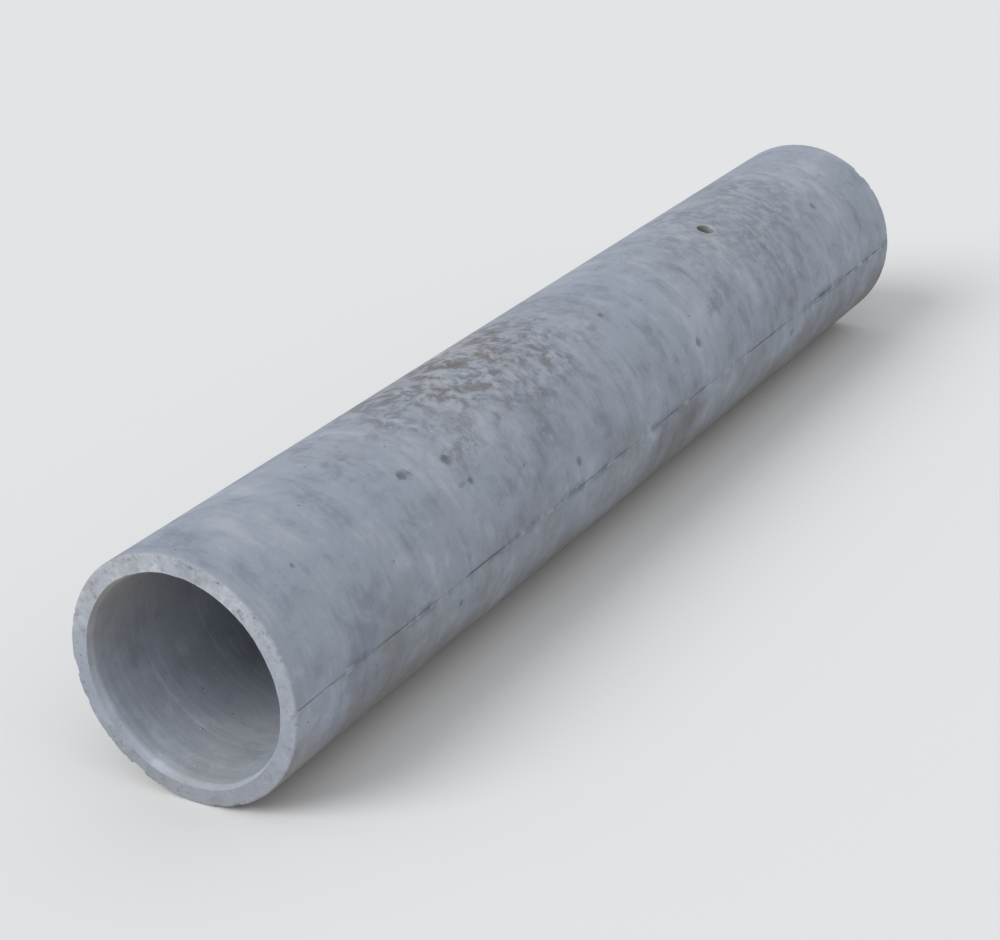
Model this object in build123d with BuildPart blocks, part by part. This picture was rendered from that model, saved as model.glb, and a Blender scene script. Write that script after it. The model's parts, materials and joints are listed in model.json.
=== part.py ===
from build123d import *
import os

# A plain-ended pipe of spun concrete, lying on the ground.
# The pipe runs along Y, with its near mouth towards -Y and +Z up.
# The origin is on the ground, under the middle of the pipe.
# All sizes are in millimetres and all angles in degrees.

# The barrel
bore_diameter = 300.0
wall_thickness = 30.0
pipe_length = 2000.0

# The ends. The outer corner is rounded by handling, and a trowelled bevel leads into the bore.
outer_corner_radius = 4.0
mouth_bevel_width = 4.0
mouth_bevel_depth = 9.0

# The two seams, where the halves of the steel mould met.
# Slurry leaks out there, and the fin breaks off with a shallow groove left behind.
seam_count = 2
seam_angle = 0.0
seam_mouth_width = 3.2
seam_floor_width = 1.2
seam_depth = 1.2

# The lifting hole through the wall, towards the far end
hole_diameter = 30.0
hole_from_far_end = 540.0
hole_from_seam = 75.0
hole_edge_break = 2.5

# Sizes that follow from those above
bore_radius = bore_diameter / 2
outer_radius = bore_radius + wall_thickness
mouth_radius = bore_radius + mouth_bevel_width
half_length = pipe_length / 2
pipe_axis = Axis((0, 0, outer_radius), (0, 1, 0))

# The lengthwise section is drawn along the pipe and outwards from its axis.
section_plane = Plane(origin=(0, 0, outer_radius), x_dir=(0, 1, 0), z_dir=(1, 0, 0))

# The near end is drawn as seen from outside the pipe, with X to the right and Z up.
near_end_plane = Plane(origin=(0, -half_length, outer_radius), x_dir=(1, 0, 0), z_dir=(0, -1, 0))

# The lifting hole is drilled inwards from the crown of the pipe, square to its skin.
hole_outwards = Vector(1, 0, 0).rotate(Axis.Y, -(seam_angle + hole_from_seam))
hole_centre = Vector(0, half_length - hole_from_far_end, outer_radius) + hole_outwards * outer_radius
hole_plane = Plane(origin=hole_centre, x_dir=(0, 1, 0), z_dir=hole_outwards)

with BuildPart() as pipe:
    # One turn of the wall's section makes the barrel, its bore and both ends.
    with BuildSketch(section_plane) as wall_section:
        with BuildLine():
            Polyline(
                (-half_length, mouth_radius),
                (-half_length, outer_radius),
                (half_length, outer_radius),
                (half_length, mouth_radius),
                (half_length - mouth_bevel_depth, bore_radius),
                (mouth_bevel_depth - half_length, bore_radius),
                close=True,
            )
        make_face()
        fillet(wall_section.vertices().group_by(Axis.Y)[-1], outer_corner_radius)
    revolve(axis=pipe_axis)

    # Each seam is a groove with sloping sides, cut along the whole length of the skin.
    with BuildSketch(near_end_plane):
        with PolarLocations(outer_radius, seam_count, start_angle=seam_angle):
            Polygon(
                (-seam_depth, -seam_floor_width / 2),
                (0, -seam_mouth_width / 2),
                (seam_depth, -seam_mouth_width / 2),
                (seam_depth, seam_mouth_width / 2),
                (0, seam_mouth_width / 2),
                (-seam_depth, seam_floor_width / 2),
                align=None,
            )
    extrude(amount=-pipe_length, mode=Mode.SUBTRACT)

    # The lifting hole goes through one side of the wall only, and its outer edge is broken.
    with Locations(hole_plane):
        Hole(hole_diameter / 2, depth=outer_radius)
    chamfer(pipe.edges().sort_by_distance(hole_centre)[0], hole_edge_break)

pipe.part.label = "pipe"

os.makedirs("parts", exist_ok=True)
export_step(pipe.part, "parts/pipe.step")

print("outside diameter", outer_radius * 2, "bore", bore_diameter, "length", pipe_length)
print("volume in litres", round(pipe.part.volume / 1e6, 2))
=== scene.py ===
# %% [markdown]
# # A concrete sewer pipe, spun in a steel mould
# The real object is one cast piece: a round, thin-walled concrete pipe with plain ends, lying on the
# ground. Its size and its place are settled already, in a frame that is loaded first and never moved.
# This lesson gives that plain form the surface of a real one: a worn rim, mould seams, blow holes and
# dirt.

# %% Load the frame
import json
import math
import random

import bmesh
import bpy
from mathutils import Matrix, Quaternion, Vector, noise


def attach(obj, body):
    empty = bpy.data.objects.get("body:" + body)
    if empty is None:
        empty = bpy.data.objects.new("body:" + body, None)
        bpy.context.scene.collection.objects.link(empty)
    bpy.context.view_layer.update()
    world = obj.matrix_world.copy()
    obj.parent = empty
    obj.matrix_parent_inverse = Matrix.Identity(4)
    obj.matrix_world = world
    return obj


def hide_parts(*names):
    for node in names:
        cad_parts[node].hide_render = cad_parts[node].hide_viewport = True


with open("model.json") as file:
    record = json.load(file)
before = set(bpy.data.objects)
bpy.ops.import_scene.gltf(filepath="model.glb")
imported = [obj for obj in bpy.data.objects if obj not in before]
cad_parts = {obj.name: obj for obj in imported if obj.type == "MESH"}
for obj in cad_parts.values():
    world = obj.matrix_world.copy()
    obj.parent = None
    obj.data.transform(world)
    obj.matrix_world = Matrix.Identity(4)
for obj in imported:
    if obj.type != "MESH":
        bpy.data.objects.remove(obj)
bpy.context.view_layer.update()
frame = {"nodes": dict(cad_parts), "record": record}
print("frame nodes:", sorted(frame["nodes"]))

# %% [markdown]
# ## Sizes
# A size that is typed in twice sooner or later differs from itself. The frame's record states the
# pipe's interfaces, so the radii and lengths are read from there. Blender works in metres, so
# millimetres are turned into metres once, here.

# %% Sizes read from the record
MM = 0.001
mounts = {mount["name"]: mount for mount in frame["record"]["mounts"]}
bore_radius = mounts["bore"]["dims"]["r_mm"] * MM
outer_radius = mounts["barrel"]["dims"]["r_mm"] * MM
hole_radius = mounts["lifting_hole"]["dims"]["r_mm"] * MM
hole_point = Vector(mounts["lifting_hole"]["pos_m"])
hole_outwards = Vector(mounts["lifting_hole"]["axis"]).normalized()
half_length = mounts["far_end"]["pos_m"][1]
axis_height = mounts["bore"]["pos_m"][2]
corner_radius = half_length - mounts["barrel"]["dims"]["length_mm"] * MM / 2
bevel_depth = half_length - mounts["bore"]["dims"]["length_mm"] * MM / 2
BEVEL_WIDTH = 4 * MM
mouth_radius = bore_radius + BEVEL_WIDTH
wall_middle = (bore_radius + outer_radius) / 2
print(f"outside {outer_radius * 2:.3f} m, bore {bore_radius * 2:.3f} m, length {half_length * 2:.3f} m")

# %% [markdown]
# ## The camera
# The photographer stood to the right of the mouth and looked down on it, with the camera turned a
# little. The place below is that of the photograph, measured against the pipe. The aim is moved along
# the pipe so that its whole length is in the picture.

# %% Camera
CAMERA_PLACE = Vector((1.627, -2.823, 1.493))
CAMERA_AIM = Vector((0.0, -0.2, 0.15))
CAMERA_ROLL = math.radians(3.67)
FRAME_WIDTH_PX = 1000
FOCAL_LENGTH_PX = 2150


def add_camera():
    data = bpy.data.cameras.new("camera")
    data.lens = data.sensor_width * FOCAL_LENGTH_PX / FRAME_WIDTH_PX
    camera = bpy.data.objects.new("camera", data)
    bpy.context.scene.collection.objects.link(camera)
    look = (CAMERA_AIM - CAMERA_PLACE).to_track_quat("-Z", "Y")
    turn = Quaternion((0, 0, 1), -CAMERA_ROLL)
    camera.matrix_world = Matrix.Translation(CAMERA_PLACE) @ (look @ turn).to_matrix().to_4x4()
    bpy.context.scene.camera = camera
    return camera


camera = add_camera()
print(f"camera {(CAMERA_AIM - CAMERA_PLACE).length:.2f} m from its aim, lens {camera.data.lens:.1f} mm")

# %% [markdown]
# ## The wall's section
# A pipe is a shape of revolution, so it starts as a section: a line that runs along the skin, over
# the rim and back along the bore. Only half is drawn, from the middle of the pipe to one rim, because
# both ends start out the same. The line has a vertex where it turns or where the spacing changes, and
# each stretch is then divided evenly. A row below is such a vertex: its distance from the pipe's
# middle, its radius, and the number of cuts in the stretch after it. The stretches near the rim get
# close spacing, because that is where concrete chips and where the eye looks first. The straight
# middle needs little.
#
# Bevel rounds the outer corner while it is still one vertex of the line. The stretches on both sides
# of it end exactly where the rounding starts, since a rounding wider than its neighbours would fold
# over them.

# %% Draw half of the section
CORNER_ZONE = 14 * MM
NEXT_RIM_ZONE = 60 * MM
MOUTH_ZONE = 22 * MM
NEXT_MOUTH_ZONE = 70 * MM
CORNER_SEGMENTS = 6
MERGE = 0.01 * MM
SECTION = [
    ("middle of the skin", 0.0, outer_radius, 13),
    ("skin near the rim", half_length - NEXT_RIM_ZONE, outer_radius, 3),
    ("skin at the rim", half_length - CORNER_ZONE, outer_radius, 6),
    ("start of the rounding", half_length - corner_radius, outer_radius, 0),
    ("outer corner", half_length, outer_radius, 0),
    ("end of the rounding", half_length, outer_radius - corner_radius, 5),
    ("end face", half_length, outer_radius - CORNER_ZONE, 3),
    ("mouth", half_length, mouth_radius, 3),
    ("foot of the bevel", half_length - bevel_depth, bore_radius, 3),
    ("bore near the mouth", half_length - MOUTH_ZONE, bore_radius, 4),
    ("bore further in", half_length - NEXT_MOUTH_ZONE, bore_radius, 9),
    ("middle of the bore", 0.0, bore_radius, 0),
]


def draw_half_section():
    """A line of vertices in the plane x = 0, above the pipe's axis, which lies along Y for now."""
    bm = bmesh.new()
    turns = [bm.verts.new((0, -along, radius)) for _, along, radius, _ in SECTION]
    edges = [bm.edges.new(pair) for pair in zip(turns, turns[1:])]
    corner = turns[[name for name, _, _, _ in SECTION].index("outer corner")]
    bmesh.ops.bevel(
        bm,
        geom=[corner],
        offset=corner_radius,
        segments=CORNER_SEGMENTS,
        profile=0.5,
        affect="VERTICES",
        material=-1,
    )
    for edge, (_, _, _, cuts) in zip(edges, SECTION):
        if cuts:
            bmesh.ops.subdivide_edges(bm, edges=[edge], cuts=cuts)
    bmesh.ops.remove_doubles(bm, verts=bm.verts[:], dist=MERGE)
    return bm


pipe_mesh = draw_half_section()
print("half section vertices:", len(pipe_mesh.verts))

# %% [markdown]
# ## Turning the section
# Spin turns the line about the axis. A full turn in small steps is slow, because every step is merged
# with the ones before it, so a quarter turn is spun and then mirrored three times: to the other end,
# the other side and the underside. Mirroring turns faces inside out, so the normals are recalculated
# at once, before any operator needs to know which side is out.

# %% Spin a quarter and mirror it
QUARTER_STEPS = 160


def everything(bm):
    return bm.verts[:] + bm.edges[:] + bm.faces[:]


def radius_of(point):
    """Distance of a point from the pipe's axis."""
    return math.hypot(point.x, point.z - axis_height)


def litres_in(bm):
    return round(bm.calc_volume() * 1000, 2)


def turn_section(bm):
    bmesh.ops.spin(
        bm, geom=everything(bm), cent=(0, 0, 0), axis=(0, 1, 0), angle=math.pi / 2, steps=QUARTER_STEPS
    )
    for axis in "YXZ":
        bmesh.ops.mirror(bm, geom=everything(bm), axis=axis, merge_dist=MERGE)
    bmesh.ops.recalc_face_normals(bm, faces=bm.faces[:])
    bmesh.ops.translate(bm, verts=bm.verts[:], vec=(0, 0, axis_height))


turn_section(pipe_mesh)
print("faces after the turn:", len(pipe_mesh.faces), "litres:", litres_in(pipe_mesh))

# %% [markdown]
# ## Marks on the skin
# Blow holes are where air was caught against the steel mould. They are dark, shallow and a few
# millimetres to two centimetres wide. Each row below is a distance from the near end, an angle round
# the pipe, a width and a depth, in millimetres and degrees. The first five are where the photograph
# shows them, the others are spread over what is hidden. The same list gives the mesh its pits and,
# through a mask, the skin's material its dark spots.

# %% Places of the blow holes
BLOW_HOLES = [
    (382, 56, 13, 1.3),
    (473, 50, 16, 1.2),
    (488, 36, 11, 1.6),
    (108, 51, 7, 1.2),
    (392, -11, 9, 1.2),
    (742, 12, 13, 1.5),
    (1016, 66, 10, 1.2),
    (1180, 24, 15, 1.4),
    (1534, -9, 11, 1.3),
    (1766, 48, 14, 1.3),
    (640, 158, 15, 1.4),
    (1322, 203, 12, 1.3),
    (884, 128, 10, 1.2),
    (214, 176, 13, 1.4),
    (1650, 149, 9, 1.2),
]


def around_axis(radius, turn, along):
    return Vector((radius * math.cos(turn), along, axis_height + radius * math.sin(turn)))


def on_skin(from_near_end, degrees):
    """A point of the skin. The angle is 0 on the side of +X and 90 on top."""
    return around_axis(outer_radius, math.radians(degrees), from_near_end - half_length)


blow_holes = [
    (on_skin(from_near_end * MM, degrees), width * MM / 2, depth * MM)
    for from_near_end, degrees, width, depth in BLOW_HOLES
]
print("blow holes:", len(blow_holes))

# %% [markdown]
# ## Finer mesh where something small happens
# The middle of the pipe has long faces, too long for a pit or a broken seam. Subdividing everything
# would cost far too many faces, so only the lengthwise edges near a pit, the lifting hole or a seam
# are divided. Two cuts along each seam also give its groove a floor of its own. The parts to cut are
# gathered in a dictionary, not a set, because it keeps their order, and every run then gives the same
# list of vertices.

# %% Divide the lengthwise edges near small things
PIT_SPACING = 1.8 * MM
HOLE_SPACING = 2.5 * MM
SEAM_SPACING = 7 * MM
SEAM_FLOOR = 0.6 * MM
SEAM_REACH = 4.5 * MM
PIT_REACH = 1.5
HOLE_REACH = 26 * MM


def lengthwise_edges(bm):
    """The edges that run along the pipe, so that their two ends differ in Y alone."""
    found = []
    for edge in bm.edges:
        start, end = (vert.co for vert in edge.verts)
        if math.hypot(end.x - start.x, end.z - start.z) < MERGE:
            found.append(edge)
    return found


def nearest_on(edge, point):
    """The point of an edge that is nearest to a point, for edges that run along the pipe."""
    low, high = sorted(vert.co.y for vert in edge.verts)
    place = edge.verts[0].co
    return Vector((place.x, min(max(point.y, low), high), place.z))


def divide(bm, edges, spacing):
    """Divides edges so that their pieces are about as long as the spacing. Equal edges go together."""
    by_cuts = {}
    for edge in edges:
        cuts = round(edge.calc_length() / spacing) - 1
        if cuts > 0:
            by_cuts.setdefault(cuts, []).append(edge)
    for cuts, group in by_cuts.items():
        bmesh.ops.subdivide_edges(bm, edges=group, cuts=cuts, use_grid_fill=True)


def divide_near(bm, point, reach, spacing):
    near = [e for e in lengthwise_edges(bm) if (nearest_on(e, point) - point).length < reach]
    divide(bm, near, spacing)


def near_seam(point):
    return radius_of(point) > outer_radius - MM and abs(point.z - axis_height) < SEAM_REACH


def cut_seam_floor(bm):
    for side in (-1, 1):
        strip = [face for face in bm.faces if near_seam(face.calc_center_median())]
        around = dict.fromkeys(part for face in strip for part in (*face.verts, *face.edges))
        bmesh.ops.bisect_plane(
            bm,
            geom=strip + list(around),
            plane_co=(0, 0, axis_height + side * SEAM_FLOOR),
            plane_no=(0, 0, 1),
            dist=MERGE,
        )


cut_seam_floor(pipe_mesh)
beside_seams = [e for e in lengthwise_edges(pipe_mesh) if all(near_seam(v.co) for v in e.verts)]
divide(pipe_mesh, beside_seams, SEAM_SPACING)
for place, radius, _ in blow_holes:
    divide_near(pipe_mesh, place, radius * PIT_REACH, PIT_SPACING)
for depth in (0, outer_radius - bore_radius):
    skin_point = hole_point + hole_outwards * (outer_radius - radius_of(hole_point) - depth)
    divide_near(pipe_mesh, skin_point, HOLE_REACH, HOLE_SPACING)
print("faces after dividing:", len(pipe_mesh.faces))

# %% [markdown]
# ## The lifting hole
# A hole through a curved wall is a job for a Boolean: a plug of the hole's shape is taken out of the
# wall. The plug is turned like the pipe, from a line of its own. It widens at its outer end, because
# the edge of the real hole is broken, and it ends at the pipe's axis, so that only one side of the
# wall is cut. It has rings where it passes through the wall, which become the vertices of the hole's
# rough inside.

# %% Cut the lifting hole
PLUG_STEPS = 56
PLUG_RINGS = 9
EDGE_BREAK = 2.5 * MM
PLUG_BEYOND = 6 * MM
BORE_CLEARANCE = 6 * MM


def make_plug():
    """A closed plug that stands on the origin along +Z and widens at its outer end."""
    bm = bmesh.new()
    line = [
        (0, 0),
        (hole_radius, 0),
        (hole_radius, bore_radius - BORE_CLEARANCE),
        (hole_radius, outer_radius - EDGE_BREAK),
        (hole_radius + EDGE_BREAK + PLUG_BEYOND, outer_radius + PLUG_BEYOND),
        (0, outer_radius + PLUG_BEYOND),
    ]
    turns = [bm.verts.new((out, 0, rise)) for out, rise in line]
    edges = [bm.edges.new(pair) for pair in zip(turns, turns[1:])]
    inside_the_wall = edges[2]
    bmesh.ops.subdivide_edges(bm, edges=[inside_the_wall], cuts=PLUG_RINGS)
    bmesh.ops.spin(
        bm,
        geom=everything(bm),
        cent=(0, 0, 0),
        axis=(0, 0, 1),
        angle=math.tau,
        steps=PLUG_STEPS,
        use_merge=True,
    )
    bmesh.ops.remove_doubles(bm, verts=bm.verts[:], dist=MERGE)
    bmesh.ops.recalc_face_normals(bm, faces=bm.faces[:])
    return bm


def as_object(bm, name):
    mesh = bpy.data.meshes.new(name)
    bm.to_mesh(mesh)
    bm.free()
    thing = bpy.data.objects.new(name, mesh)
    bpy.context.scene.collection.objects.link(thing)
    return thing


def cut_away(wall, plug):
    """Takes the plug out of the wall and keeps the result as the wall's own mesh."""
    boolean = wall.modifiers.new("lifting hole", "BOOLEAN")
    boolean.operation = "DIFFERENCE"
    boolean.solver = "EXACT"
    boolean.object = plug
    result = bpy.data.meshes.new_from_object(wall.evaluated_get(bpy.context.evaluated_depsgraph_get()))
    wall.modifiers.clear()
    wall.data = result
    bpy.data.objects.remove(plug)


plug = as_object(make_plug(), "hole_plug")
plug_turn = hole_outwards.to_track_quat("Z", "Y").to_matrix().to_4x4()
plug.data.transform(Matrix.Translation((0, hole_point.y, axis_height)) @ plug_turn)
pipe = as_object(pipe_mesh, "weathered_pipe")
cut_away(pipe, plug)
print("faces with the hole:", len(pipe.data.polygons))

# %% [markdown]
# ## Wear in the mesh
# Damage that changes the outline is modelled, and what only changes the light is left to the
# materials. Wear only takes concrete off the outside, as on the real pipe, so no vertex ever moves
# past the frame's box. Each kind of wear is a function that moves vertices, and most leave a mask
# between 0 and 1 on the ones that they moved. Those masks become attributes of the mesh, which the
# materials read.

# %% Helpers for wear
NOISE_FALLOFF = 1.0
NOISE_STEP = 2.0
worn_mesh = bmesh.new()
worn_mesh.from_mesh(pipe.data)
broken_mask = worn_mesh.verts.layers.float.new("broken")
pit_mask = worn_mesh.verts.layers.float.new("pit")
seam_mask = worn_mesh.verts.layers.float.new("seam")


def from_end(point):
    """Distance back from the nearer end of the pipe."""
    return half_length - abs(point.y)


def degrees_round(point):
    """Angle round the pipe, 0 on the side of +X and 90 on top."""
    return math.degrees(math.atan2(point.z - axis_height, point.x)) % 360


def degrees_apart(one, other):
    return abs((one - other + 180) % 360 - 180)


def move(vert, inwards=0.0, along=0.0):
    """Moves a vertex towards the pipe's axis, and away from its nearer end."""
    scale = 1 - inwards / radius_of(vert.co)
    vert.co.x *= scale
    vert.co.z = axis_height + (vert.co.z - axis_height) * scale
    vert.co.y -= math.copysign(along, vert.co.y)


def bumps(point, size, seed, octaves=3):
    """Noise between about -1 and 1, whose bumps are as wide as the size."""
    place = point / size + Vector((seed, seed, seed))
    return noise.fractal(place, NOISE_FALLOFF, NOISE_STEP, octaves, noise_basis="PERLIN_NEW")


print("vertices to wear:", len(worn_mesh.verts))

# %% [markdown]
# ## Rims
# Pipes are rolled and stacked by hand, and each knock takes a flake off the thin outer corner. A flake
# comes away along a slanted face, so the corner is cut back at 45 degrees by an amount that changes
# along the rim. A little comes from noise and the rest from chips. The larger chips are listed one by
# one: each row is an end, an angle, a width and a depth, in degrees and millimetres. The others come
# from a seeded random list, so that every run gives the same pipe.

# %% Chip the outer corners
CORNER_WEAR = 2.5 * MM
CORNER_UNEVENNESS = 1.5 * MM
CORNER_WAVE = 14 * MM
FLAKE_ROUGHNESS = 0.9 * MM
FLAKE_GRAIN = 4 * MM
CHIP_REACH = 12 * MM
BARE_BELOW = 1.2 * MM
NEAR, FAR = -1, 1
CHIPS = [
    (NEAR, 187, 16, 5.5),
    (NEAR, 201, 9, 4.5),
    (NEAR, 238, 24, 6.5),
    (NEAR, 251, 10, 4.0),
    (NEAR, 292, 13, 5.0),
    (NEAR, 62, 11, 4.5),
    (NEAR, 118, 8, 4.2),
    (FAR, 48, 22, 7.0),
    (FAR, 135, 30, 8.5),
    (FAR, 262, 18, 6.0),
]
RANDOM_CHIPS = 26
RANDOM_CHIP_WIDTHS = (3, 11)
RANDOM_CHIP_DEPTHS = (3.0, 4.6)
chance = random.Random(11)


def list_chips():
    """End, angle, half width and depth of every chip."""
    chips = [(end, turn, width * MM / 2, depth * MM) for end, turn, width, depth in CHIPS]
    for end in (NEAR, FAR):
        for _ in range(RANDOM_CHIPS):
            width = chance.uniform(*RANDOM_CHIP_WIDTHS) * MM
            turn = chance.uniform(0, 360)
            chips.append((end, turn, width / 2, chance.uniform(*RANDOM_CHIP_DEPTHS) * MM))
    return chips


def cut_back(chips, end, turn, point):
    """How far the corner is cut back at this angle of this end."""
    cut = CORNER_WEAR + CORNER_UNEVENNESS * max(0.0, bumps(point, CORNER_WAVE, seed=3.1))
    for chip_end, chip_turn, half_width, depth in chips:
        away = math.radians(degrees_apart(turn, chip_turn)) * outer_radius / half_width
        if chip_end == end and away < 1:
            cut = max(cut, depth * math.sqrt(1 - away * away) + CORNER_WEAR * away)
    return cut


def chip_corners(bm, chips):
    touched = 0
    for vert in bm.verts:
        depth = outer_radius - radius_of(vert.co)
        if depth + from_end(vert.co) > CHIP_REACH:
            continue
        end = NEAR if vert.co.y < 0 else FAR
        cut = cut_back(chips, end, degrees_round(vert.co), vert.co)
        in_flake = min(1.0, (cut - CORNER_WEAR) / MM)
        cut += FLAKE_ROUGHNESS * bumps(vert.co, FLAKE_GRAIN, seed=9.4) * in_flake
        missing = cut - depth - from_end(vert.co)
        if missing > 0:
            move(vert, inwards=missing / 2, along=missing / 2)
            vert[broken_mask] = min(1.0, missing / BARE_BELOW)
            touched += 1
    return touched


chips = list_chips()
print("chips:", len(chips), "vertices moved:", chip_corners(worn_mesh, chips))

# %% [markdown]
# ## End faces and the mouth
# The end of a spun pipe is cast against a plain steel ring. The ring leaves a face that is nearly
# flat, with pits where gravel stood against it. The bevel round the mouth is drawn by hand with a
# trowel while the concrete is soft, so its width wanders, and it is widest at the lower left of the
# near end.

# %% Roughen the end faces and the mouth
FACE_TOLERANCE = 0.05 * MM
FACE_UNEVENNESS = 0.5 * MM
FACE_WAVE = 22 * MM
FACE_PITS = 42
FACE_PIT_ZONE = (mouth_radius + 3 * MM, outer_radius - 5 * MM)
FACE_PIT_RADII = (2.0, 4.2)
FACE_PIT_DEPTHS = (0.8, 2.0)
FACE_PIT_DIRT = 0.7
MOUTH_REACH = bevel_depth + 4 * MM
MOUTH_UNEVENNESS = 0.9 * MM
MOUTH_WAVE = 26 * MM
MOUTH_WIDENING = 3.0 * MM
WIDE_MOUTH_AT = 240
WIDE_MOUTH_SPREAD = 62
FAR_MOUTH_SHARE = 0.2


def list_face_pits():
    pits = []
    for end in (NEAR, FAR):
        for _ in range(FACE_PITS):
            turn = chance.uniform(0, math.tau)
            place = around_axis(chance.uniform(*FACE_PIT_ZONE), turn, end * half_length)
            radius = chance.uniform(*FACE_PIT_RADII) * MM
            pits.append((place, radius, chance.uniform(*FACE_PIT_DEPTHS) * MM))
    return pits


def roughen_face(vert, pits):
    inwards = FACE_UNEVENNESS * (0.5 + 0.5 * bumps(vert.co, FACE_WAVE, seed=5.7))
    for place, radius, depth in pits:
        away = (vert.co - place).length / radius
        if away < 1:
            inwards = max(inwards, depth * (1 - away * away))
            vert[pit_mask] = max(vert[pit_mask], FACE_PIT_DIRT * (1 - away))
    move(vert, along=max(0.0, inwards))


def widen_mouth(vert, back):
    near_mouth = max(0.0, 1 - back / MOUTH_REACH)
    near_mouth *= min(1.0, (wall_middle - radius_of(vert.co)) / (wall_middle - mouth_radius))
    wide = max(0.0, 1 - degrees_apart(degrees_round(vert.co), WIDE_MOUTH_AT) / WIDE_MOUTH_SPREAD)
    wide = wide if vert.co.y < 0 else FAR_MOUTH_SHARE
    out = MOUTH_UNEVENNESS * bumps(vert.co, MOUTH_WAVE, seed=1.3) + MOUTH_WIDENING * wide
    move(vert, inwards=-near_mouth * out)


def roughen_ends(bm, pits):
    for vert in bm.verts:
        back = from_end(vert.co)
        if back < FACE_TOLERANCE:
            roughen_face(vert, pits)
        if back <= MOUTH_REACH and radius_of(vert.co) < wall_middle:
            widen_mouth(vert, back)


face_pits = list_face_pits()
roughen_ends(worn_mesh, face_pits)
print("pits in the end faces:", len(face_pits))

# %% [markdown]
# ## Skin, seams and blow holes
# The mould's two halves leak a little cement where they meet. It sets as a fin that breaks off when
# the mould opens, and leaves a shallow groove that wanders in depth. Air against the steel leaves the
# blow holes of the list above. The rest of the skin is true to the mould to a few tenths of a
# millimetre.

# %% Press in the seams and the blow holes
SKIN_SETBACK = 0.2 * MM
SKIN_UNEVENNESS = 0.3 * MM
SKIN_WAVE = 90 * MM
SEAM_DEPTH = 1.2 * MM
SEAM_HALF_WIDTH = 1.62 * MM
SEAM_BREAK_LENGTH = 110 * MM
SEAM_LEAST_BREAK = 0.22
SEAM_SWAY = 0.7 * MM
SEAM_SWAY_LENGTH = 60 * MM
PIT_RAGGEDNESS = 0.35
PIT_DIRT = 1.6


def press_seam(vert):
    """Marks a vertex of the seam, lets it sway, and says how deep it lies."""
    broken_off = 0.6 + 1.5 * bumps(Vector((0, vert.co.y, vert.co.x)), SEAM_BREAK_LENGTH, seed=6.6)
    broken_off = max(SEAM_LEAST_BREAK, min(1.0, broken_off))
    vert[seam_mask] = broken_off
    vert.co.z += SEAM_SWAY * bumps(Vector((0, vert.co.y, 0)), SEAM_SWAY_LENGTH, seed=7.7)
    return SEAM_DEPTH * broken_off


def press_blow_holes(vert):
    """Marks a vertex in or beside a blow hole, and says how deep it lies."""
    press = 0.0
    for place, radius, depth in blow_holes:
        away = (vert.co - place).length / radius
        if away < PIT_REACH:
            ragged = away * (1 + PIT_RAGGEDNESS * bumps(vert.co, radius, seed=8.8))
            press = max(press, depth * max(0.0, 1 - ragged * ragged))
            dirt = min(1.0, PIT_DIRT * max(0.0, PIT_REACH - ragged) / PIT_REACH)
            vert[pit_mask] = max(vert[pit_mask], dirt)
    return press


def press_skin(bm):
    for vert in bm.verts:
        if radius_of(vert.co) < outer_radius - MM:
            continue
        wave = SKIN_SETBACK + SKIN_UNEVENNESS * max(0.0, bumps(vert.co, SKIN_WAVE, seed=2.2, octaves=2))
        on_seam = abs(vert.co.z - axis_height) < SEAM_HALF_WIDTH
        groove = press_seam(vert) if on_seam else 0.0
        move(vert, inwards=wave + max(groove, press_blow_holes(vert)))


press_skin(worn_mesh)
print("vertices on the seams:", sum(1 for vert in worn_mesh.verts if vert[seam_mask] > 0))

# %% [markdown]
# ## The rough lifting hole
# The hole's inside is rougher than the skin, because no steel smoothed it, and a little skin has broken
# away round it, in a ring of uneven width. Painted shade darkens its inside, more the deeper in.

# %% Roughen the hole and break the skin round it
HOLE_EDGE_MARGIN = 0.2 * MM
HOLE_ROUGHNESS = 0.8 * MM
HOLE_GRAIN = 7 * MM
HOLE_SHADE_DEPTH = 12 * MM
HOLE_BARENESS = 0.8
SPALL_WIDTH = 7.5 * MM
SPALL_WAVE = 14 * MM
SPALL_SLOPE = 0.25
SPALL_BARENESS = 0.7
SPALL_BARE_BELOW = 0.5 * MM


def from_hole_axis(point):
    """The shortest way from the lifting hole's own axis to a point."""
    spoke = point - hole_point
    return spoke - spoke.dot(hole_outwards) * hole_outwards


def roughen_hole(bm):
    """Breaks the skin back round the hole, and moves the hole's inside away from its own axis."""
    rough_verts = 0
    for vert in bm.verts:
        if (vert.co - hole_point).length > 2 * hole_radius + EDGE_BREAK:
            continue
        spoke = from_hole_axis(vert.co)
        off_edge = spoke.length - hole_radius - EDGE_BREAK
        below_skin = outer_radius - radius_of(vert.co)
        if off_edge < HOLE_EDGE_MARGIN:
            rough = HOLE_ROUGHNESS * (0.5 + 0.5 * bumps(vert.co, HOLE_GRAIN, seed=4.4))
            vert.co += spoke.normalized() * rough
            vert[broken_mask] = HOLE_BARENESS
            # Painted shade inside the hole, darker the deeper in, carried by the pit mask.
            vert[pit_mask] = min(1.0, max(0.0, below_skin - EDGE_BREAK) / HOLE_SHADE_DEPTH)
            rough_verts += 1
        if below_skin < MM:
            on_ring = hole_point + spoke.normalized() * hole_radius
            width = SPALL_WIDTH * (0.45 + 0.8 * bumps(on_ring, SPALL_WAVE, seed=12.3))
            missing = SPALL_SLOPE * (width - max(0.0, off_edge))
            if missing > 0:
                move(vert, inwards=missing)
                vert[broken_mask] = min(SPALL_BARENESS, missing / SPALL_BARE_BELOW)
    return rough_verts


print("vertices inside the hole:", roughen_hole(worn_mesh))

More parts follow.
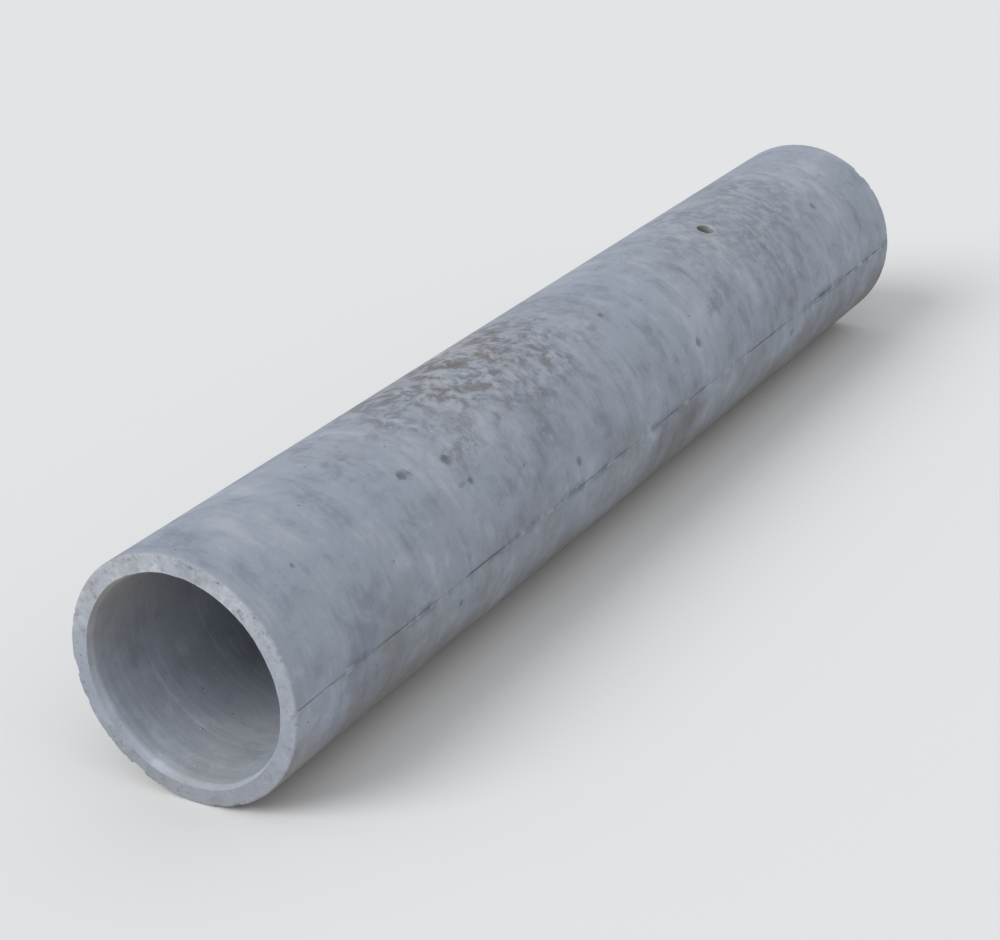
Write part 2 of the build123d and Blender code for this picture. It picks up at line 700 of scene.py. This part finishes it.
# %% [markdown]
# ## Finishing the mesh
# Where divided edges meet plain ones, a face has more than four corners, some of them in one line.
# Such faces are cut into well-shaped triangles here, because an exporter that cuts them itself may
# leave slivers. Faces are shaded smooth, except across edges that turn sharply, such as the mouth and
# the sides of a chip. Three materials share the mesh, so each face is told which one it takes: skin,
# end face or bore.

# %% Smooth shading and material regions
SHARP_ANGLE = math.radians(48)
SKIN_THICKNESS = 0.5 * MM
FACING_THE_END = 0.7
SKIN, RIM, BORE = range(3)


def in_lifting_hole(point):
    below_skin = outer_radius - radius_of(point)
    in_wall = SKIN_THICKNESS < below_skin < outer_radius - bore_radius
    return in_wall and from_hole_axis(point).length < hole_radius + EDGE_BREAK


def region_of(face):
    centre = face.calc_center_median()
    if abs(face.normal.y) > FACING_THE_END or in_lifting_hole(centre):
        return RIM
    return BORE if radius_of(centre) < wall_middle else SKIN


def finish_mesh(bm, mesh):
    many_sided = [face for face in bm.faces if len(face.verts) > 4]
    bmesh.ops.triangulate(bm, faces=many_sided, quad_method="BEAUTY", ngon_method="BEAUTY")
    bm.normal_update()
    for face in bm.faces:
        face.smooth = True
        face.material_index = region_of(face)
    for edge in bm.edges:
        edge.smooth = not edge.is_manifold or edge.calc_face_angle() < SHARP_ANGLE
    open_edges = sum(1 for edge in bm.edges if not edge.is_manifold)
    triangles = sum(len(face.verts) - 2 for face in bm.faces)
    litres = litres_in(bm)
    bm.to_mesh(mesh)
    bm.free()
    return open_edges, triangles, litres


open_edges, triangles, litres = finish_mesh(worn_mesh, pipe.data)
print("open edges:", open_edges, "triangles:", triangles, "litres:", litres)

# %% [markdown]
# ## Colours and node helpers
# The tones are what a paint card for this pipe would hold. They are typed as 0 to 255 values, as a
# colour picker shows them, and turned into the linear values that Blender's sockets take. The small
# helpers below keep the node cells readable: one adds a node with its inputs, the others are the sums
# used again and again.

# %% Tones and node helpers
TONES = {
    "skin dark": (133, 140, 153),
    "skin": (153, 161, 174),
    "skin light": (170, 176, 186),
    "skin flank shade and soil": (107, 102, 98),
    "mud": (106, 96, 91),
    "mud wiped thin": (184, 179, 179),
    "soil": (128, 118, 108),
    "pit": (97, 104, 109),
    "seam": (84, 88, 96),
    "fin": (175, 179, 187),
    "face dark": (144, 149, 157),
    "face": (167, 172, 181),
    "face light": (193, 197, 204),
    "broken dark": (134, 134, 136),
    "broken": (174, 175, 179),
    "gravel": (110, 108, 106),
    "bore dark": (147, 153, 163),
    "bore": (167, 173, 184),
    "bore light": (185, 191, 202),
    "bore crown shade": (152, 144, 136),
    "silt": (160, 154, 146),
}


def linear(value):
    value = value / 255
    return value / 12.92 if value <= 0.04045 else ((value + 0.055) / 1.055) ** 2.4


def tone(name):
    return (*map(linear, TONES[name]), 1.0)


def three_tones(name):
    return {"dark": tone(f"{name} dark"), "middle": tone(name), "light": tone(f"{name} light")}


def add_node(tree, kind, inputs=None, **settings):
    """Adds a node. Settings are its own properties, and inputs are values or sockets to link."""
    node = tree.nodes.new(kind)
    for name, value in settings.items():
        setattr(node, name, value)
    for name, value in (inputs or {}).items():
        if isinstance(value, bpy.types.NodeSocket):
            tree.links.new(value, node.inputs[name])
        else:
            node.inputs[name].default_value = value
    return node


def calc(tree, operation, *values):
    return add_node(tree, "ShaderNodeMath", dict(enumerate(values)), operation=operation).outputs[0]


def times(tree, one, other):
    return calc(tree, "MULTIPLY", one, other)


def vector_calc(tree, operation, *vectors, **factors):
    inputs = {**dict(enumerate(vectors)), **factors}
    return add_node(tree, "ShaderNodeVectorMath", inputs, operation=operation).outputs


def fade(tree, value, low, high, to_low=0.0, to_high=1.0):
    """Turns a value between low and high into one between to_low and to_high, with soft ends."""
    inputs = {"Value": value, "From Min": low, "From Max": high, "To Min": to_low, "To Max": to_high}
    node = add_node(tree, "ShaderNodeMapRange", inputs, interpolation_type="SMOOTHSTEP")
    return node.outputs["Result"]


def mix(tree, amount, below, above):
    """Lays one colour over another. A Mix node's sockets for colours have the numbers 6 and 7."""
    return add_node(tree, "ShaderNodeMix", {0: amount, 6: below, 7: above}, data_type="RGBA").outputs[2]


def lay(tree, color, mask, amount, name):
    """Lays a tone over a colour, as strongly as a mask times an amount."""
    return mix(tree, times(tree, mask, amount), color, tone(name))


def object_place(tree, stretch=(1, 1, 1), shift=(0, 0, 0)):
    """Object coordinates, stretched and shifted so that a pattern drawn on them runs as it should."""
    place = add_node(tree, "ShaderNodeTexCoord").outputs["Object"]
    inputs = {"Vector": place, "Scale": stretch, "Location": shift}
    return add_node(tree, "ShaderNodeMapping", inputs).outputs[0]


def split(tree, place):
    return add_node(tree, "ShaderNodeSeparateXYZ", {"Vector": place}).outputs


def cloud(tree, place, scale, detail=3.0, rough=0.55, distort=0.0):
    inputs = {"Vector": place, "Scale": scale, "Detail": detail}
    inputs |= {"Roughness": rough, "Distortion": distort}
    return add_node(tree, "ShaderNodeTexNoise", inputs).outputs["Fac"]


def bend(tree, place, scale, detail, amount):
    """Pushes coordinates about with a noise, so that a pattern drawn on them gets ragged edges."""
    inputs = {"Vector": place, "Scale": scale, "Detail": detail}
    push = add_node(tree, "ShaderNodeTexNoise", inputs).outputs["Color"]
    return vector_calc(tree, "ADD", place, vector_calc(tree, "SCALE", push, Scale=amount)[0])[0]


def scatter(tree, place, scale):
    """Random cells: the distance to a cell's middle, and three random numbers that each cell draws."""
    cells = add_node(tree, "ShaderNodeTexVoronoi", {"Vector": place, "Scale": scale}).outputs
    draw = add_node(tree, "ShaderNodeSeparateColor", {"Color": cells["Color"]}).outputs
    return cells["Distance"], draw


print("tones:", len(TONES))

# %% [markdown]
# ## Node groups
# Skin, end face and bore are the same concrete, so they share its effects and differ in tones and
# amounts. Each effect is a node group with named inputs. A group gives out colours, masks and
# heights. The heights are in millimetres, so they can be read and added like real ones, and one Bump
# node turns them into relief.

# %% A helper for groups, and the group that knows the pipe
def label_of(word):
    """A socket's label, from the name that a Python call gives it: from_end becomes From End."""
    return word.replace("_", " ").title()


def new_group(name, inputs, outputs):
    tree = bpy.data.node_groups.new(name, "ShaderNodeTree")
    for label, kind, value in inputs:
        socket = tree.interface.new_socket(label, in_out="INPUT", socket_type=f"NodeSocket{kind}")
        socket.default_value = value
    for label, kind in outputs:
        tree.interface.new_socket(label, in_out="OUTPUT", socket_type=f"NodeSocket{kind}")
    given = tree.nodes.new("NodeGroupInput").outputs
    return tree, given, tree.nodes.new("NodeGroupOutput").inputs


def give_out(tree, out, **results):
    for word, result in results.items():
        tree.links.new(result, out[label_of(word)])


def use_group(tree, name, **inputs):
    """Places a group in a material."""
    named = {label_of(word): value for word, value in inputs.items()}
    return add_node(tree, "ShaderNodeGroup", named, node_tree=bpy.data.node_groups[name]).outputs


def make_pipe_measures():
    """How far a point is from the nearer end, how high up it faces, and how far off the seams it is."""
    outputs = [("From End", "Float"), ("Up", "Float"), ("Off Seam", "Float")]
    tree, _, out = new_group("pipe_measures", [], outputs)
    place = split(tree, object_place(tree, shift=(0, 0, -axis_height)))
    across, along, up = place["X"], place["Y"], place["Z"]
    radius = calc(tree, "SQRT", calc(tree, "ADD", times(tree, across, across), times(tree, up, up)))
    from_end = calc(tree, "SUBTRACT", half_length, calc(tree, "ABSOLUTE", along))
    off_seam = calc(tree, "ABSOLUTE", up)
    give_out(tree, out, from_end=from_end, up=calc(tree, "DIVIDE", up, radius), off_seam=off_seam)


make_pipe_measures()
print("group made: pipe_measures")

# %% [markdown]
# ## Clouds in the cement
# Concrete dries unevenly, and the cement skin comes out in soft clouds of lighter and darker grey,
# from a hand's breadth down to a thumb's. Two noises of different sizes make them. Two more are drawn
# on coordinates that are squeezed along the pipe, so their clouds become bands round it, as the
# turning mould leaves them, and narrow runs, as rain does. The end faces have clouds but no bands, so
# the bands are a group of their own, and push the clouds towards dark or light where a material links
# them.

# %% Groups: cement clouds, bands and runs
def make_cement_clouds():
    inputs = [
        ("Dark", "Color", tone("skin dark")),
        ("Middle", "Color", tone("skin")),
        ("Light", "Color", tone("skin light")),
        ("Scale", "Float", 6.0),
        ("Push", "Float", 0.0),
    ]
    tree, given, out = new_group("cement_clouds", inputs, [("Color", "Color"), ("Value", "Float")])
    place = object_place(tree)
    broad = cloud(tree, place, given["Scale"], 2, 0.5)
    small = cloud(tree, place, times(tree, given["Scale"], 5.3), 5, 0.62, 0.4)
    value = calc(tree, "MULTIPLY_ADD", broad, 0.5, times(tree, small, 0.5))
    value = calc(tree, "ADD", value, given["Push"])
    darker = mix(tree, fade(tree, value, 0.33, 0.5), given["Dark"], given["Middle"])
    color = mix(tree, fade(tree, value, 0.5, 0.67), darker, given["Light"])
    give_out(tree, out, color=color, value=value)


def make_bands_and_runs():
    tree, given, out = new_group("bands_and_runs", [("Strength", "Float", 0.3)], [("Push", "Float")])
    bands = cloud(tree, object_place(tree, (1.1, 9.0, 1.1)), 3.2, 3, 0.55)
    runs = cloud(tree, object_place(tree, (1.6, 22.0, 1.6)), 4.5, 3, 0.6, 0.6)
    stripes = calc(tree, "SUBTRACT", calc(tree, "MULTIPLY_ADD", runs, 0.6, bands), 0.8)
    give_out(tree, out, push=times(tree, stripes, given["Strength"]))


make_cement_clouds()
make_bands_and_runs()
print("groups made: cement_clouds, bands_and_runs")

# %% [markdown]
# ## Sand and small air holes
# Close up, the surface is sand in cement: a fine grain with a few lighter and darker specks. A
# Voronoi texture gives every speck its own random colour, and only the extreme ones are kept. The air
# holes work the same way: each cell draws a random number, which decides whether it has a hole and
# how wide the hole is.

# %% Groups: sand grain and air holes
def make_sand_grain():
    inputs = [("Scale", "Float", 420.0), ("Relief", "Float", 0.06)]
    outputs = [("Light", "Float"), ("Dark", "Float"), ("Height", "Float")]
    tree, given, out = new_group("sand_grain", inputs, outputs)
    place = object_place(tree)
    distance, draw = scatter(tree, place, given["Scale"])
    fine = cloud(tree, place, times(tree, given["Scale"], 1.7), 1.5, 0.65)
    near_middle = fade(tree, distance, 0.55, 0.2)
    light = times(tree, fade(tree, draw["Red"], 0.84, 0.97), near_middle)
    dark = times(tree, fade(tree, draw["Red"], 0.18, 0.04), near_middle)
    give_out(tree, out, light=light, dark=dark, height=times(tree, fine, given["Relief"]))


def make_air_holes():
    inputs = [("Scale", "Float", 55.0), ("Share", "Float", 0.25), ("Relief", "Float", 0.7)]
    tree, given, out = new_group("air_holes", inputs, [("Mask", "Float"), ("Height", "Float")])
    bent = bend(tree, object_place(tree, shift=(3.1, 1.7, 0.4)), 300.0, 0.0, 0.0022)
    distance, draw = scatter(tree, bent, given["Scale"])
    chosen = calc(tree, "LESS_THAN", draw["Red"], given["Share"])
    width = times(tree, calc(tree, "MULTIPLY_ADD", draw["Green"], 0.1, 0.035), chosen)
    inside = calc(tree, "DIVIDE", distance, calc(tree, "MAXIMUM", width, 0.001))
    mask = times(tree, fade(tree, inside, 1.0, 0.55), chosen)
    give_out(tree, out, mask=mask, height=times(tree, mask, times(tree, given["Relief"], -1.0)))


make_sand_grain()
make_air_holes()
print("groups made: sand_grain, air_holes")

# %% [markdown]
# ## Rings, smears and broken concrete
# The mould spins, so whatever smooths the concrete leaves rings round it, clearest in the bore.
# Smears are wet mud wiped on by other pipes and by hands: a noise bent by another noise, which gives
# torn, curling edges. Broken concrete shows its inside, pale cement with grey gravel in it.

# %% Groups: ring marks, smears and broken concrete
def make_ring_marks():
    inputs = [("Spacing", "Float", 0.022), ("Relief", "Float", 0.2)]
    tree, given, out = new_group("ring_marks", inputs, [("Value", "Float"), ("Height", "Float")])
    along = split(tree, object_place(tree))["Y"]
    sway = cloud(tree, object_place(tree, (1, 0.6, 1)), 2.6, 1, 0.5)
    place = calc(tree, "DIVIDE", calc(tree, "MULTIPLY_ADD", sway, 0.03, along), given["Spacing"])
    noise_inputs = {"W": place, "Scale": 1.0, "Detail": 2.0}
    rings = add_node(tree, "ShaderNodeTexNoise", noise_inputs, noise_dimensions="1D").outputs["Fac"]
    strength = cloud(tree, object_place(tree, (1, 0.5, 1), (0.7, 0, 0)), 4.2, 1, 0.5)
    value = times(tree, calc(tree, "SUBTRACT", rings, 0.5), fade(tree, strength, 0.3, 0.65))
    give_out(tree, out, value=value, height=times(tree, value, given["Relief"]))


def away_from(tree, place, given):
    """Distance from a group's centre, measured in reaches, so that its zone is an egg shape."""
    away = vector_calc(tree, "SUBTRACT", place, given["Centre"])[0]
    away = vector_calc(tree, "DIVIDE", away, given["Reach"])[0]
    return vector_calc(tree, "LENGTH", away)["Value"]


def make_smears():
    """Masks of crumbs of mud and of what was wiped thin between them, in a zone round a place."""
    inputs = [
        ("Centre", "Vector", (0, 0, 0)),
        ("Reach", "Vector", (0.1, 0.2, 0.1)),
        ("Cover", "Float", 0.5),
    ]
    tree, given, out = new_group("smears", inputs, [("Mask", "Float"), ("Wiped", "Float")])
    place = object_place(tree)
    torn = cloud(tree, bend(tree, place, 19.0, 1.0, 0.042), 46.0, 5, 0.66)
    film = cloud(tree, place, 11.0, 4, 0.62)
    away = away_from(tree, place, given)
    zone = fade(tree, calc(tree, "MULTIPLY_ADD", film, 2.4, away), 2.4, 1.4)
    covered = times(tree, zone, given["Cover"])
    crumbs = fade(tree, torn, 0.45, 0.6, 0.0, 0.66)
    mud = calc(tree, "ADD", crumbs, fade(tree, film, 0.34, 0.7, 0.0, 0.38))
    wiped = fade(tree, torn, 0.46, 0.38)
    give_out(tree, out, mask=times(tree, mud, covered), wiped=times(tree, wiped, covered))


def make_broken_concrete():
    inputs = [("Scale", "Float", 150.0), ("Relief", "Float", 0.9)]
    tree, given, out = new_group("broken_concrete", inputs, [("Color", "Color"), ("Height", "Float")])
    place = object_place(tree)
    distance, draw = scatter(tree, place, given["Scale"])
    paste = mix(tree, cloud(tree, place, 320.0, 2, 0.6), tone("broken dark"), tone("broken"))
    stone = times(tree, fade(tree, draw["Green"], 0.72, 0.8), fade(tree, distance, 0.5, 0.36))
    color = lay(tree, paste, stone, 0.75, "gravel")
    lump = cloud(tree, place, 210.0, 2, 0.6)
    give_out(tree, out, color=color, height=times(tree, lump, given["Relief"]))


def make_spot():
    """One spot, as long in each direction as its reach. A noise at its ragged input tears its edge."""
    inputs = [
        ("Centre", "Vector", (0, 0, 0)),
        ("Reach", "Vector", (0.01, 0.01, 0.01)),
        ("Strength", "Float", 0.6),
        ("Ragged", "Float", 0.5),
    ]
    tree, given, out = new_group("spot", inputs, [("Mask", "Float")])
    torn = calc(tree, "MULTIPLY_ADD", given["Ragged"], 2.8, away_from(tree, object_place(tree), given))
    give_out(tree, out, mask=times(tree, fade(tree, torn, 2.3, 1.55), given["Strength"]))


make_ring_marks()
make_smears()
make_broken_concrete()
make_spot()
print("groups made: ring_marks, smears, broken_concrete, spot")

# %% [markdown]
# ## Starting and ending a material
# Every material below is built in the same order. A list of layers goes from the concrete's own
# colour to the dirt on top of it, and the heights are added up on the way. The last step joins both
# to the Principled shader. What is the same all over, such as how shiny cement is, is set on the
# shader itself.

# %% Helpers for the materials
def start_material(name):
    material = bpy.data.materials.new(name)
    material.use_nodes = True
    material.node_tree.nodes.clear()
    return material


def mask_of(tree, name):
    return add_node(tree, "ShaderNodeAttribute", attribute_name=name).outputs["Fac"]


def add_heights(tree, *heights):
    total = heights[0]
    for height in heights[1:]:
        total = calc(tree, "ADD", total, height)
    return total


def end_material(material, color, roughness, height, shine):
    tree = material.node_tree
    relief = {"Strength": 1.0, "Distance": MM, "Height": height}
    bump = add_node(tree, "ShaderNodeBump", relief).outputs[0]
    inputs = {"Base Color": color, "Roughness": roughness, "Normal": bump, "Specular IOR Level": shine}
    shader = add_node(tree, "ShaderNodeBsdfPrincipled", inputs).outputs[0]
    add_node(tree, "ShaderNodeOutputMaterial", {"Surface": shader})
    return material


def speckle(tree, color, grain, strength):
    """Lightens the light grains of sand and darkens the dark ones."""
    color = lay(tree, color, grain["Light"], strength, "face light")
    return lay(tree, color, grain["Dark"], strength, "gravel")


def soil_near_floor(tree, color, amount):
    """The brown that a pipe takes from the ground, only on its lowest part and in patches."""
    height = split(tree, object_place(tree))["Z"]
    patch = cloud(tree, object_place(tree), 17.0, 4, 0.66)
    level = calc(tree, "MULTIPLY_ADD", patch, 0.12, times(tree, height, -1.0))
    return lay(tree, color, fade(tree, level, -0.07, 0.03), amount, "soil")


print("material helpers ready")

# %% [markdown]
# ## Skin
# The outside took its smoothness from the steel: cool grey, matt, with hardly any relief. It turns
# warmer and darker towards the ground, partly painted shade and partly soil. Mud is smeared over the
# crest, where the photograph shows it.
# Each seam is a dark line between two paler ones: painted shade darkens its groove and a soft band
# round it, and the paler bits beside it are where the fin broke away on both sides of it.

# %% Material: skin
MUD_PLACE = on_skin(690 * MM, 92)
MUD_REACH = (0.19, 0.34, 0.13)
SCUFF_PLACE = on_skin(1560 * MM, 70)
SCUFF_REACH = (0.2, 0.34, 0.16)
STAINS = [
    ("mud", (474, 51), (0.009, 0.013, 0.010), 0.75),
    ("mud", (560, 60), (0.022, 0.040, 0.024), 0.4),
    ("pit", (470, 37), (0.005, 0.022, 0.005), 0.40),
    ("pit", (386, 56), (0.011, 0.019, 0.013), 0.6),
    ("mud", (1290, 35), (0.016, 0.046, 0.024), 0.4),
    ("pit", (836, 14), (0.010, 0.018, 0.010), 0.35),
    ("mud", (1120, 163), (0.022, 0.044, 0.026), 0.45),
]


def add_stains(tree, color):
    ragged = cloud(tree, object_place(tree), 70.0, 4, 0.62)
    for name, (from_near_end, degrees), reach, strength in STAINS:
        centre = on_skin(from_near_end * MM, degrees)
        spot = use_group(tree, "spot", centre=centre, reach=reach, strength=strength, ragged=ragged)
        color = mix(tree, spot["Mask"], color, tone(name))
    return color


def add_seam(tree, color, pipe_at):
    """Painted shade in the groove and in a soft band round it, fading in and out along the pipe, and
    bits of pale broken fin beside it.
    """
    along = object_place(tree, (0.2, 1, 0.2))
    depth = fade(tree, cloud(tree, along, 7.0, 3, 0.6), 0.36, 0.56, 0.4, 0.95)
    # Painted shade: a soft dark band along each seam, in patches.
    seam_band_shade = fade(tree, cloud(tree, object_place(tree), 14.0, 3, 0.6), 0.44, 0.66, 0.0, 0.6)
    by_seam = fade(tree, pipe_at["Off Seam"], 0.013, 0.001)
    color = lay(tree, color, by_seam, seam_band_shade, "seam")
    bits = fade(tree, cloud(tree, object_place(tree), 38.0, 3), 0.5, 0.66, 0.0, 0.6)
    beside = times(tree, fade(tree, pipe_at["Off Seam"], 0.006, 0.0018), bits)
    color = mix(tree, beside, color, tone("fin"))
    # Painted shade in the seam's groove, as strong as the seam mask and the depth noise make it.
    return lay(tree, color, mask_of(tree, "seam"), depth, "seam")


def make_skin():
    material = start_material("pipe_skin")
    tree = material.node_tree
    pipe_at = use_group(tree, "pipe_measures")
    stripes = use_group(tree, "bands_and_runs", strength=0.3)["Push"]
    clouds = use_group(tree, "cement_clouds", scale=5.5, push=stripes)
    grain = use_group(tree, "sand_grain", scale=430.0, relief=0.05)
    holes = use_group(tree, "air_holes", scale=58.0, share=0.16, relief=0.55)
    rings = use_group(tree, "ring_marks", spacing=0.034, relief=0.35)
    mud = use_group(tree, "smears", centre=MUD_PLACE, reach=MUD_REACH, cover=0.95)
    scuff = use_group(tree, "smears", centre=SCUFF_PLACE, reach=SCUFF_REACH, cover=0.5)
    broken = use_group(tree, "broken_concrete")
    # Painted shade, partly soil: the skin turns darker and warmer towards the ground, in patches.
    patches = cloud(tree, object_place(tree), 6.0, 4, 0.66)
    flank = fade(tree, calc(tree, "MULTIPLY_ADD", patches, 2.6, pipe_at["Up"]), 1.75, 0.45)
    color = lay(tree, clouds["Color"], flank, 0.8, "skin flank shade and soil")
    color = mix(tree, calc(tree, "MULTIPLY_ADD", rings["Value"], 0.5, 0.1), color, tone("skin dark"))
    color = speckle(tree, color, grain, 0.2)
    color = soil_near_floor(tree, color, 0.6)
    color = mix(tree, calc(tree, "MAXIMUM", mud["Mask"], scuff["Mask"]), color, tone("mud"))
    wiped = calc(tree, "MAXIMUM", mud["Wiped"], scuff["Wiped"])
    color = lay(tree, color, wiped, 0.45, "mud wiped thin")
    color = add_stains(tree, color)
    color = add_seam(tree, color, pipe_at)
    color = lay(tree, color, holes["Mask"], 0.7, "pit")
    color = lay(tree, color, mask_of(tree, "pit"), 0.7, "pit")
    color = mix(tree, mask_of(tree, "broken"), color, broken["Color"])
    broken_height = times(tree, broken["Height"], mask_of(tree, "broken"))
    ripple = times(tree, cloud(tree, object_place(tree), 36.0, 2, 0.55), 0.45)
    crust = times(tree, mud["Mask"], 0.7)
    height = add_heights(tree, grain["Height"], holes["Height"], rings["Height"], ripple)
    height = add_heights(tree, height, broken_height, crust)
    roughness = fade(tree, clouds["Value"], 0.3, 0.7, 0.8, 0.62)
    return end_material(material, color, roughness, height, shine=0.35)


skin = make_skin()
print("material made:", skin.name)

# %% [markdown]
# ## End faces
# The end faces are paler than the skin, because handling keeps them clean and their corners worn.
# Gravel shows through here and there, and small pits stand between the stones. Painted shade darkens
# the lower part of each end face.

# %% Material: end face
def make_end_face():
    material = start_material("pipe_end_face")
    tree = material.node_tree
    pipe_at = use_group(tree, "pipe_measures")
    clouds = use_group(tree, "cement_clouds", scale=16.0, **three_tones("face"))
    grain = use_group(tree, "sand_grain", scale=300.0, relief=0.42)
    holes = use_group(tree, "air_holes", scale=105.0, share=0.4, relief=0.9)
    broken = use_group(tree, "broken_concrete", scale=140.0, relief=0.9)
    bare = fade(tree, cloud(tree, object_place(tree), 34.0, 3, 0.64), 0.5, 0.64, 0.15, 0.75)
    bare = calc(tree, "MAXIMUM", bare, mask_of(tree, "broken"))
    color = mix(tree, bare, clouds["Color"], broken["Color"])
    color = speckle(tree, color, grain, 0.45)
    color = lay(tree, color, holes["Mask"], 0.65, "pit")
    # The pit mask darkens the pits of the end faces, and paints shade deep inside the lifting hole.
    color = lay(tree, color, mask_of(tree, "pit"), 0.6, "gravel")
    # Painted shade: the end face darkens towards the bottom.
    color = mix(tree, fade(tree, pipe_at["Up"], 0.75, -0.35, 0.0, 0.55), color, tone("skin dark"))
    color = soil_near_floor(tree, color, 0.2)
    broken_height = times(tree, broken["Height"], bare)
    height = add_heights(tree, grain["Height"], holes["Height"], broken_height)
    roughness = fade(tree, clouds["Value"], 0.3, 0.7, 0.92, 0.82)
    return end_material(material, color, roughness, height, shine=0.3)


end_face = make_end_face()
print("material made:", end_face.name)

# %% [markdown]
# ## Bore
# The inside was smoothed by a roller while the pipe spun. It keeps rings a couple of centimetres apart,
# and spatter that fell from the roller set as beads near the mouth. The crown is darkened to a warm
# taupe with painted shade, and a little silt has dried along the bottom.

# %% Material: bore
def make_beads(tree, pipe_at):
    """Height of the small beads of spatter, in the lower half near the ends."""
    distance, draw = scatter(tree, object_place(tree), 80.0)
    width = calc(tree, "MULTIPLY_ADD", draw["Green"], 0.13, 0.05)
    inside = calc(tree, "DIVIDE", distance, width)
    chosen = calc(tree, "GREATER_THAN", draw["Blue"], 0.45)
    bead = times(tree, fade(tree, inside, 1.1, 0.3), chosen)
    low = fade(tree, pipe_at["Up"], 0.1, -0.35)
    near_mouth = fade(tree, pipe_at["From End"], 0.24, 0.13)
    return times(tree, bead, times(tree, low, near_mouth))


def make_bore():
    material = start_material("pipe_bore")
    tree = material.node_tree
    pipe_at = use_group(tree, "pipe_measures")
    stripes = use_group(tree, "bands_and_runs", strength=0.3)["Push"]
    clouds = use_group(tree, "cement_clouds", scale=7.0, push=stripes, **three_tones("bore"))
    grain = use_group(tree, "sand_grain", scale=360.0, relief=0.1)
    holes = use_group(tree, "air_holes", scale=64.0, share=0.14, relief=0.5)
    rings = use_group(tree, "ring_marks", spacing=0.017, relief=1.1)
    broken = use_group(tree, "broken_concrete")
    # Painted shade: the crown of the bore darkens to a warm taupe.
    crown = fade(tree, calc(tree, "MULTIPLY_ADD", clouds["Value"], 0.8, pipe_at["Up"]), -0.1, 1.2)
    color = lay(tree, clouds["Color"], crown, 0.75, "bore crown shade")
    color = mix(tree, calc(tree, "MULTIPLY_ADD", rings["Value"], 0.8, 0.12), color, tone("bore dark"))
    color = speckle(tree, color, grain, 0.22)
    patch = cloud(tree, object_place(tree, (1, 0.35, 1)), 20.0, 3, 0.6)
    low = calc(tree, "MULTIPLY_ADD", patch, 0.3, times(tree, pipe_at["Up"], -1.0))
    silt = fade(tree, low, 1.06, 1.2)
    color = lay(tree, color, silt, 0.3, "silt")
    beads = make_beads(tree, pipe_at)
    color = lay(tree, color, beads, 0.85, "face light")
    color = lay(tree, color, holes["Mask"], 0.6, "pit")
    color = mix(tree, mask_of(tree, "broken"), color, broken["Color"])
    bead_height = times(tree, beads, 0.9)
    height = add_heights(tree, grain["Height"], holes["Height"], rings["Height"], bead_height)
    roughness = fade(tree, clouds["Value"], 0.3, 0.7, 0.88, 0.74)
    return end_material(material, color, roughness, height, shine=0.3)


bore = make_bore()
for material in (skin, end_face, bore):
    pipe.data.materials.append(material)
print("materials on the pipe:", [material.name for material in pipe.data.materials])

# %% [markdown]
# ## Floor and light
# The floor is plain and pale and only there to take the pipe's shadow. Light comes from a wide soft
# lamp in front of the mouth and above it, so that the end face is the brightest part and the bore
# falls off into the dark. A sun lamp with a large angle is as soft as a studio's light box, and
# lights the floor evenly to its edge.

# %% Floor, lamps and world
FLOOR_SIZE = 60.0
FLOOR_TONE = (0.80, 0.80, 0.80, 1.0)
BACKDROP_TONE = (0.764, 0.777, 0.788, 1.0)
SKY_TONE = (0.94, 0.97, 1.0, 1.0)
SKY_STRENGTH = 0.5
LAMPS = [
    ("key", (-0.45, -1.0, 0.95), 1.7, 36),
    ("fill", (0.9, -0.5, 1.2), 0.55, 70),
]


def make_floor():
    bm = bmesh.new()
    bmesh.ops.create_grid(bm, x_segments=1, y_segments=1, size=FLOOR_SIZE / 2)
    floor = as_object(bm, "floor")
    material = start_material("floor_paint")
    tree = material.node_tree
    paint = add_node(tree, "ShaderNodeBsdfDiffuse", {"Color": FLOOR_TONE}).outputs[0]
    add_node(tree, "ShaderNodeOutputMaterial", {"Surface": paint})
    floor.data.materials.append(material)
    return floor


def add_lamp(name, place, strength, angle):
    lamp = bpy.data.lights.new(name, "SUN")
    lamp.energy = strength
    lamp.angle = math.radians(angle)
    holder = bpy.data.objects.new(name, lamp)
    holder.rotation_euler = Vector(place).to_track_quat("Z", "Y").to_euler()
    bpy.context.scene.collection.objects.link(holder)


def background(tree, color, strength):
    return add_node(tree, "ShaderNodeBackground", {"Color": color, "Strength": strength}).outputs[0]


def light_world():
    world = bpy.data.worlds.new("studio")
    world.use_nodes = True
    tree = world.node_tree
    tree.nodes.clear()
    soft = background(tree, SKY_TONE, SKY_STRENGTH)
    backdrop = background(tree, BACKDROP_TONE, 1.0)
    path = add_node(tree, "ShaderNodeLightPath").outputs
    seen = calc(tree, "MAXIMUM", path["Is Camera Ray"], path["Is Glossy Ray"])
    seen = calc(tree, "MAXIMUM", seen, path["Is Transmission Ray"])
    choice = add_node(tree, "ShaderNodeMixShader", {0: seen, 1: soft, 2: backdrop}).outputs[0]
    add_node(tree, "ShaderNodeOutputWorld", {"Surface": choice})
    bpy.context.scene.world = world


floor = make_floor()
for lamp in LAMPS:
    add_lamp(*lamp)
light_world()
bpy.context.scene.view_settings.view_transform = "Standard"
print("lamps:", len(LAMPS))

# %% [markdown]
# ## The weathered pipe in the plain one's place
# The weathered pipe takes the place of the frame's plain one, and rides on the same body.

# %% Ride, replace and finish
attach(pipe, "root")
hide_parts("pipe")
